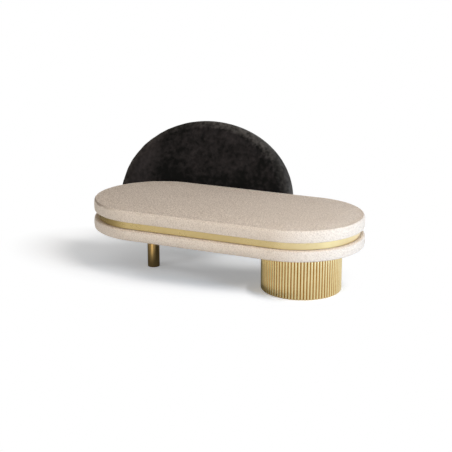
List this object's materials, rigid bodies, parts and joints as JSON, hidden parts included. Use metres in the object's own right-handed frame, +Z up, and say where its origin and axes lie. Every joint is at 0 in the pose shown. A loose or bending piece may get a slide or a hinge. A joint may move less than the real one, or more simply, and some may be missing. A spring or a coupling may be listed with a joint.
{
  "type": "recamier",
  "caption": "Round-ended upholstered lounge seat with a recessed brass band, carried by a reeded drum and a round leg, with a leaning half-moon back on one side.",
  "frame": {"origin": "on the floor, under the middle of the whole outline (back included)", "axes": "+X along the seat, towards the drum; -Y is the open front, +Y the side with the back; +Z up"},
  "size_m": [1.8213, 1.0695, 0.8222],
  "materials": {
    "boucle": "matte",
    "velvet": "matte",
    "brass": "satin",
    "plywood": "matte",
    "black_steel": "satin",
    "zinc_steel": "satin",
    "lining": "matte",
    "rubber": "matte"
  },
  "bodies": {
    "root": {"upper_cushion": "boucle", "lower_cushion": "boucle", "back_cushion": "velvet", "back_rear_panel": "velvet", "brass_band": "brass", "reeded_sleeve": "brass", "leg_tube": "brass", "deck_board": "plywood", "left_end_block": "plywood", "right_end_block": "plywood", "front_rail": "plywood", "rear_rail": "plywood", "base_board": "plywood", "cross_rail_1": "plywood", "cross_rail_2": "plywood", "cross_rail_3": "plywood", "drum_wall": "plywood", "drum_top_disc": "plywood", "drum_bottom_disc": "plywood", "back_core_board": "plywood", "leg_plate": "black_steel", "left_bracket": "black_steel", "right_bracket": "black_steel", "tie_bolt_1": "zinc_steel", "tie_bolt_2": "zinc_steel", "tie_bolt_3": "zinc_steel", "tie_bolt_4": "zinc_steel", "tie_bolt_5": "zinc_steel", "tie_bolt_6": "zinc_steel", "drum_bolt_1": "zinc_steel", "drum_bolt_2": "zinc_steel", "drum_bolt_3": "zinc_steel", "drum_bolt_4": "zinc_steel", "leg_screw_1": "zinc_steel", "leg_screw_2": "zinc_steel", "leg_screw_3": "zinc_steel", "leg_screw_4": "zinc_steel", "left_bracket_bolt_1": "zinc_steel", "left_bracket_bolt_2": "zinc_steel", "left_bracket_bolt_3": "zinc_steel", "left_tongue_bolt_1": "zinc_steel", "left_tongue_bolt_2": "zinc_steel", "right_bracket_bolt_1": "zinc_steel", "right_bracket_bolt_2": "zinc_steel", "right_bracket_bolt_3": "zinc_steel", "right_tongue_bolt_1": "zinc_steel", "right_tongue_bolt_2": "zinc_steel", "underside_lining": "lining", "drum_floor_pad": "rubber", "leg_glide": "rubber"}
  },
  "joints": []
}
